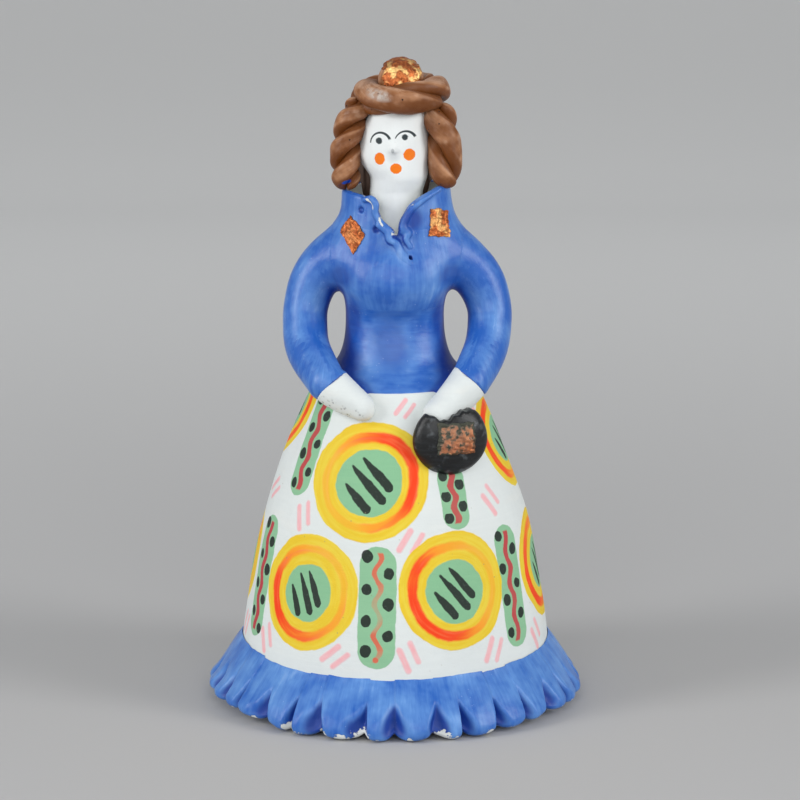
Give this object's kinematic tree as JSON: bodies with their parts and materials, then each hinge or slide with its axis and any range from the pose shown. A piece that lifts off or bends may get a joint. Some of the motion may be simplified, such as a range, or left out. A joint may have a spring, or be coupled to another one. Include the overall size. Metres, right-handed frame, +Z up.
{
  "type": "female figurine",
  "caption": "Hand-modelled painted clay lady with a hollow bell skirt, pleated hem frill, twisted hair, stand-up collar and a round bag.",
  "frame": {"origin": "on the floor, under the middle of the skirt", "axes": "+Z up, the figure faces -Y, and +X is towards her left hand, which holds the bag"},
  "size_m": [0.1234, 0.1234, 0.2112],
  "materials": {
    "white_clay": "matt whitewash with tempera ornament",
    "blue_clay": "matt brushed tempera",
    "brown_clay": "matt brushed tempera",
    "dark_clay": "matt brushed tempera",
    "black_clay": "satin paint",
    "copper_leaf": "crumpled copper-coloured leaf"
  },
  "bodies": {
    "root": {"skirt_bell": "white_clay", "hem_frill": "blue_clay", "bodice": "blue_clay", "neck_and_head": "white_clay", "nose": "white_clay", "collar": "blue_clay", "chest_ridge": "blue_clay", "right_sleeve": "blue_clay", "right_hand": "white_clay", "left_sleeve": "blue_clay", "left_hand": "white_clay", "bag": "black_clay", "crown_strand_front": "brown_clay", "crown_strand_back": "brown_clay", "top_knot": "brown_clay", "right_lock_strand_outer": "brown_clay", "right_lock_strand_inner": "brown_clay", "left_lock_strand_outer": "brown_clay", "left_lock_strand_inner": "brown_clay", "back_hair": "dark_clay", "right_chest_leaf": "copper_leaf", "left_chest_leaf": "copper_leaf", "bag_leaf": "copper_leaf", "top_knot_leaf": "copper_leaf"}
  },
  "joints": []
}
